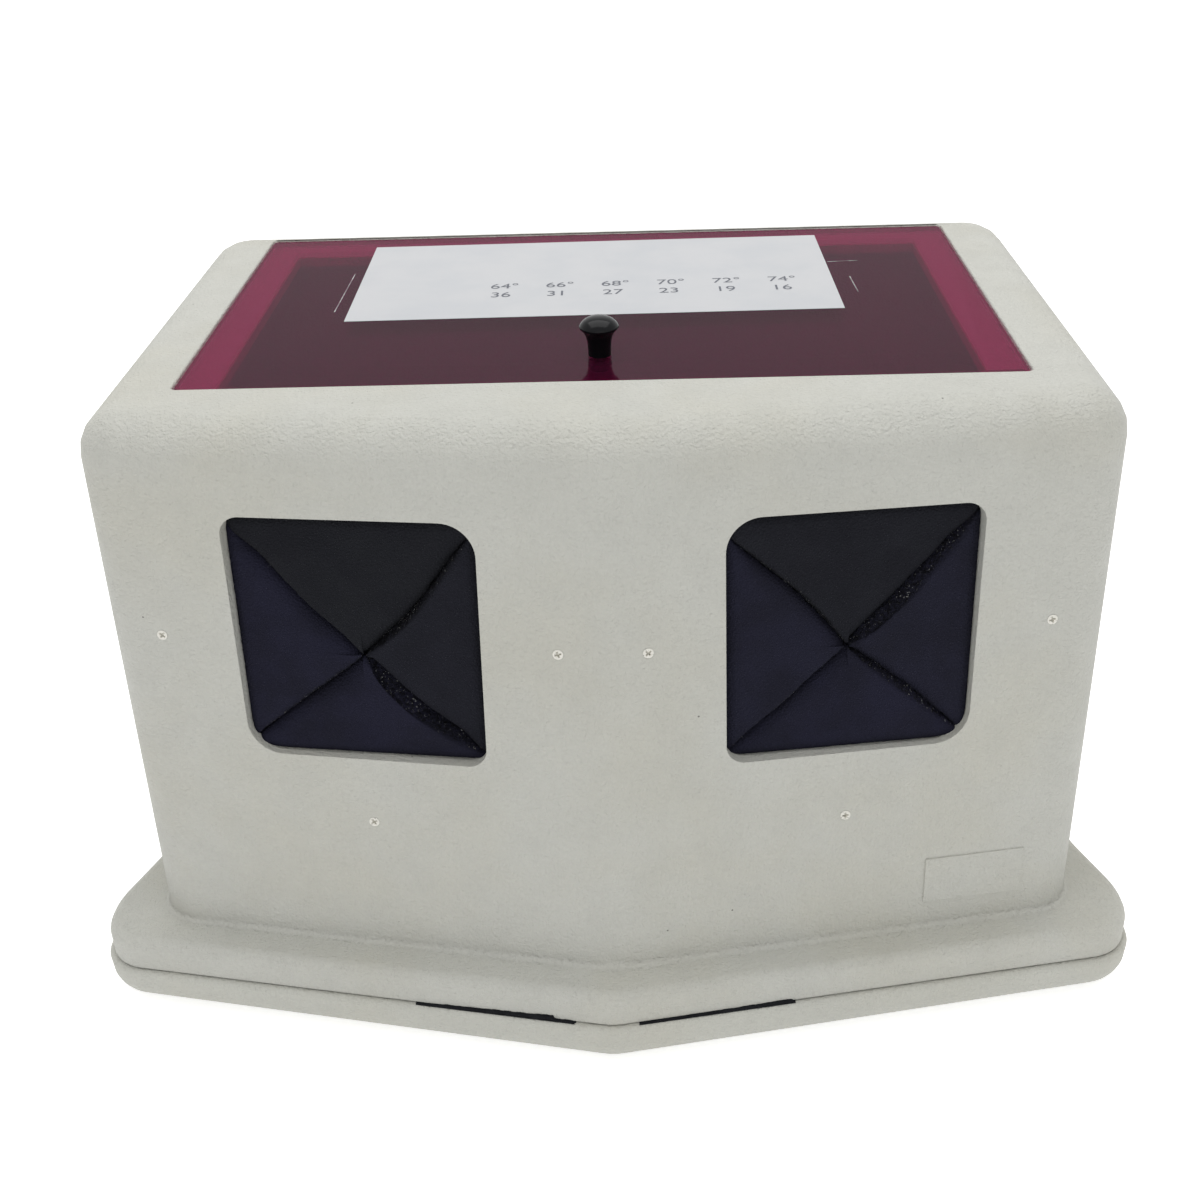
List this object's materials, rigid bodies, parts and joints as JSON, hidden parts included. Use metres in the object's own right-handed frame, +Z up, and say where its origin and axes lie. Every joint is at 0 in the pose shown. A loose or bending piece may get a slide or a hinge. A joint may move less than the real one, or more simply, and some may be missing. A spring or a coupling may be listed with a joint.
{
  "type": "dental chairside darkroom",
  "caption": "Bench darkroom for dental film: grey hood with slit foam hand ports and a lift-out red filter window, on a base tray with a cup rack.",
  "frame": {"origin": "middle of the footprint, on the underside of the base", "axes": "+X to the user's right, -Y towards the user and the hand ports, +Z up through the window"},
  "size_m": [0.455, 0.3277, 0.2854],
  "materials": {
    "hood_plastic": "fine satin, warm grey",
    "base_plastic": "fine satin, warm grey",
    "gasket_foam": "soft black foam strip",
    "red_filter": "polished deep ruby sheet",
    "knob_plastic": "moulded gloss black",
    "steel": "plain zinc",
    "screw_finish": "heads painted off-white",
    "label_paper": "matt card under clear film",
    "rack_plastic": "satin grey",
    "cup_plastic": "smooth off-white",
    "baffle_foam": "open-cell black foam",
    "frame_plastic": "matt black"
  },
  "bodies": {
    "base": {"base_tray": "base_plastic", "base_gasket": "gasket_foam"},
    "rack": {"cup_rack": "rack_plastic"},
    "developer": {"developer_cup": "cup_plastic"},
    "rinse": {"rinse_cup": "cup_plastic"},
    "fixer": {"fixer_cup": "cup_plastic"},
    "wash": {"wash_cup": "cup_plastic"},
    "hood": {"hood_shell": "hood_plastic", "left_foam_ring": "baffle_foam", "left_retaining_frame": "frame_plastic", "left_port_screws": "screw_finish", "left_port_nuts": "steel", "right_foam_ring": "baffle_foam", "right_retaining_frame": "frame_plastic", "right_port_screws": "screw_finish", "right_port_nuts": "steel"},
    "window": {"filter_window": "red_filter", "window_knob": "knob_plastic", "knob_screw": "steel", "knob_washer": "steel", "time_label": "label_paper"},
    "left_top_flap": {"left_top_flap": "baffle_foam"},
    "left_bottom_flap": {"left_bottom_flap": "baffle_foam"},
    "left_outer_flap": {"left_outer_flap": "baffle_foam"},
    "left_inner_flap": {"left_inner_flap": "baffle_foam"},
    "right_top_flap": {"right_top_flap": "baffle_foam"},
    "right_bottom_flap": {"right_bottom_flap": "baffle_foam"},
    "right_outer_flap": {"right_outer_flap": "baffle_foam"},
    "right_inner_flap": {"right_inner_flap": "baffle_foam"}
  },
  "joints": [
    {"name": "hood_lift", "type": "slide", "parent": "base", "child": "hood", "axis": [0, 0, 1], "range_m": [0, 0.13]},
    {"name": "window_lift", "type": "slide", "parent": "hood", "child": "window", "axis": [0, 0, 1], "range_m": [0, 0.04]},
    {"name": "rack_lift", "type": "slide", "parent": "base", "child": "rack", "axis": [0, 0, 1], "range_m": [0, 0.05]},
    {"name": "developer_lift", "type": "slide", "parent": "rack", "child": "developer", "axis": [0, 0, 1], "range_m": [0, 0.06]},
    {"name": "rinse_lift", "type": "slide", "parent": "rack", "child": "rinse", "axis": [0, 0, 1], "range_m": [0, 0.06]},
    {"name": "fixer_lift", "type": "slide", "parent": "rack", "child": "fixer", "axis": [0, 0, 1], "range_m": [0, 0.06]},
    {"name": "wash_lift", "type": "slide", "parent": "rack", "child": "wash", "axis": [0, 0, 1], "range_m": [0, 0.06]},
    {"name": "left_top_swing", "type": "hinge", "parent": "hood", "child": "left_top_flap", "pos_m": [-0.0947, -0.10348, 0.23318], "axis": [0.9922, -0.1248, 0], "range_deg": [0, 70], "stiffness_Nm_per_rad": 0.03},
    {"name": "left_bottom_swing", "type": "hinge", "parent": "hood", "child": "left_bottom_flap", "pos_m": [-0.09561, -0.11078, 0.12743], "axis": [-0.9922, 0.1248, 0], "range_deg": [0, 70], "stiffness_Nm_per_rad": 0.03},
    {"name": "left_outer_swing", "type": "hinge", "parent": "hood", "child": "left_outer_flap", "pos_m": [-0.14774, -0.10051, 0.18031], "axis": [0.0087, 0.0689, 0.9976], "range_deg": [0, 70], "stiffness_Nm_per_rad": 0.03},
    {"name": "left_inner_swing", "type": "hinge", "parent": "hood", "child": "left_inner_flap", "pos_m": [-0.04257, -0.11374, 0.18031], "axis": [-0.0087, -0.0689, -0.9976], "range_deg": [0, 70], "stiffness_Nm_per_rad": 0.03},
    {"name": "right_top_swing", "type": "hinge", "parent": "hood", "child": "right_top_flap", "pos_m": [0.0947, -0.10348, 0.23318], "axis": [0.9922, 0.1248, 0], "range_deg": [0, 70], "stiffness_Nm_per_rad": 0.03},
    {"name": "right_bottom_swing", "type": "hinge", "parent": "hood", "child": "right_bottom_flap", "pos_m": [0.09561, -0.11078, 0.12743], "axis": [-0.9922, -0.1248, 0], "range_deg": [0, 70], "stiffness_Nm_per_rad": 0.03},
    {"name": "right_outer_swing", "type": "hinge", "parent": "hood", "child": "right_outer_flap", "pos_m": [0.14774, -0.10051, 0.18031], "axis": [0.0087, -0.0689, -0.9976], "range_deg": [0, 70], "stiffness_Nm_per_rad": 0.03},
    {"name": "right_inner_swing", "type": "hinge", "parent": "hood", "child": "right_inner_flap", "pos_m": [0.04257, -0.11374, 0.18031], "axis": [-0.0087, 0.0689, 0.9976], "range_deg": [0, 70], "stiffness_Nm_per_rad": 0.03}
  ]
}
